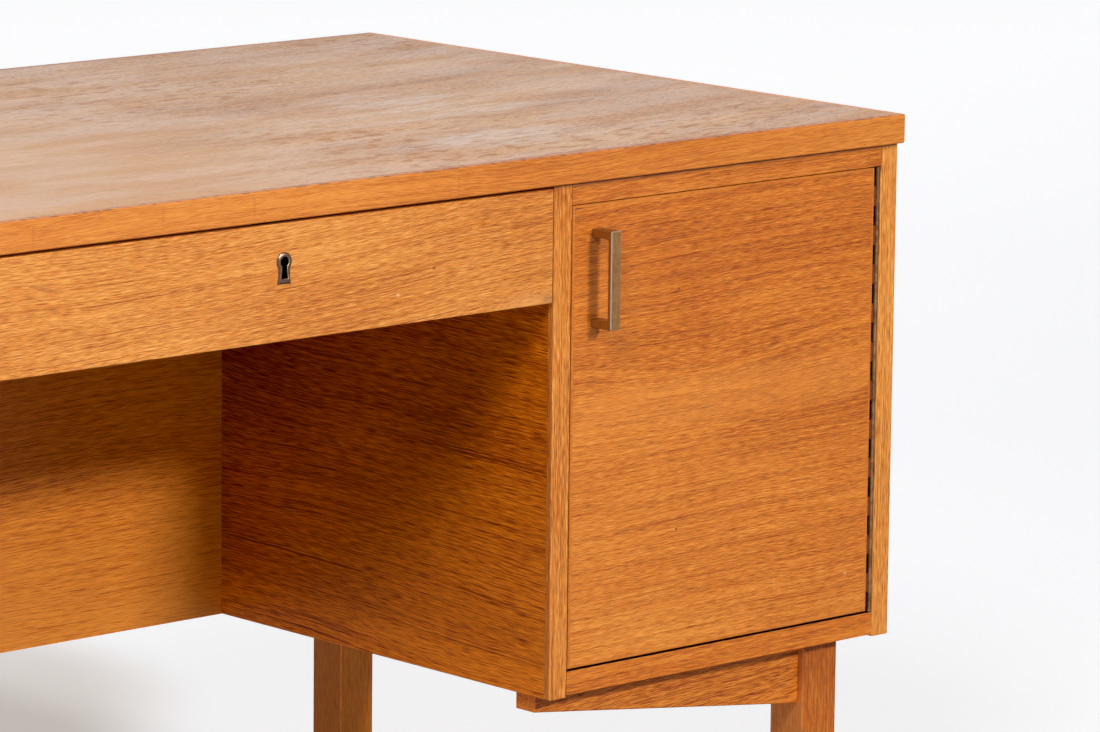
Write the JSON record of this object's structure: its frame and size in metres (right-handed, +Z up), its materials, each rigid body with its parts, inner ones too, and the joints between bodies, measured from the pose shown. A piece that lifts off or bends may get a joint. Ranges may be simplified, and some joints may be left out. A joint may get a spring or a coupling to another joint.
{
  "type": "writing desk",
  "caption": "Writing desk with an open kneehole, a cupboard pedestal with a hinged door, a drawer pedestal, a locking middle drawer and open book bays at the back.",
  "frame": {"origin": "on the floor, at the middle of the whole outline, the handles' reach included", "axes": "+X to the right of someone seated at the desk, along its length; +Y from the sitter to the book bays; +Z up"},
  "size_m": [1.4, 0.7354, 0.73],
  "materials": {
    "desktop_veneer": "oiled oak veneer with a soft sheen, grain along the desk",
    "front_veneer": "lacquered honey oak veneer, level grain",
    "oak_veneer": "lacquered honey oak veneer",
    "solid_oak": "lacquered solid oak, eased edges",
    "drawer_wood": "plain sanded light hardwood",
    "plywood": "thin birch plywood",
    "aged_brass": "brushed, browned with age, bright on the worn edges",
    "hinge_brass": "tarnished",
    "steel": "dull",
    "brown_plastic": "satin moulded",
    "nylon": "satin moulded"
  },
  "bodies": {
    "carcass": {"desktop_core": "desktop_veneer", "desktop_long_lippings": "solid_oak", "desktop_end_lippings": "solid_oak", "lock_strike": "steel", "right_outer_panel": "oak_veneer", "right_inner_panel": "oak_veneer", "left_outer_panel": "oak_veneer", "left_inner_panel": "oak_veneer", "panel_edge_lippings": "solid_oak", "right_bottom_board": "oak_veneer", "left_bottom_board": "oak_veneer", "right_top_board": "oak_veneer", "left_top_board": "oak_veneer", "right_partition": "oak_veneer", "left_partition": "oak_veneer", "modesty_panel": "oak_veneer", "rear_bay_bottom": "oak_veneer", "cupboard_shelf": "oak_veneer", "centre_bay_shelf": "oak_veneer", "side_bay_shelves": "oak_veneer", "shelf_pins": "steel", "front_right_leg": "solid_oak", "front_right_bracket": "solid_oak", "rear_right_leg": "solid_oak", "rear_right_bracket": "solid_oak", "front_left_leg": "solid_oak", "front_left_bracket": "solid_oak", "rear_left_leg": "solid_oak", "rear_left_bracket": "solid_oak", "side_stretchers": "solid_oak", "leg_glides": "nylon", "fixing_screws": "steel", "hinge_panel_leaf": "hinge_brass", "hinge_pin": "hinge_brass", "hinge_panel_screws": "hinge_brass", "door_catch": "brown_plastic", "centre_drawer_runners": "drawer_wood", "left_drawer_runners": "drawer_wood"},
    "door": {"door_panel": "front_veneer", "door_lippings": "solid_oak", "door_handle": "aged_brass", "hinge_door_leaf": "hinge_brass", "hinge_door_screws": "hinge_brass", "catch_plate": "steel"},
    "centre_drawer": {"centre_drawer_front": "front_veneer", "centre_drawer_sides": "drawer_wood", "centre_drawer_back": "drawer_wood", "centre_drawer_bottom": "plywood", "keyhole_escutcheon": "aged_brass", "drawer_lock": "steel"},
    "lock_bolt_body": {"lock_bolt": "aged_brass"},
    "upper_drawer": {"upper_drawer_front": "front_veneer", "upper_drawer_box": "drawer_wood", "upper_drawer_handle": "aged_brass"},
    "middle_drawer": {"middle_drawer_front": "front_veneer", "middle_drawer_box": "drawer_wood", "middle_drawer_handle": "aged_brass"},
    "lower_drawer": {"lower_drawer_front": "front_veneer", "lower_drawer_box": "drawer_wood", "lower_drawer_handle": "aged_brass"}
  },
  "joints": [
    {"name": "door_swing", "type": "hinge", "parent": "carcass", "child": "door", "pos_m": [0.6715, -0.34185, 0.4885], "axis": [0, 0, 1], "range_deg": [0, 110]},
    {"name": "centre_drawer_slide", "type": "slide", "parent": "carcass", "child": "centre_drawer", "axis": [0, -1, 0], "range_m": [0, 0.3]},
    {"name": "lock_bolt_slide", "type": "slide", "parent": "centre_drawer", "child": "lock_bolt_body", "axis": [0, 0, 1], "range_m": [0, 0.008]},
    {"name": "upper_drawer_slide", "type": "slide", "parent": "carcass", "child": "upper_drawer", "axis": [0, -1, 0], "range_m": [0, 0.3]},
    {"name": "middle_drawer_slide", "type": "slide", "parent": "carcass", "child": "middle_drawer", "axis": [0, -1, 0], "range_m": [0, 0.3]},
    {"name": "lower_drawer_slide", "type": "slide", "parent": "carcass", "child": "lower_drawer", "axis": [0, -1, 0], "range_m": [0, 0.3]}
  ]
}
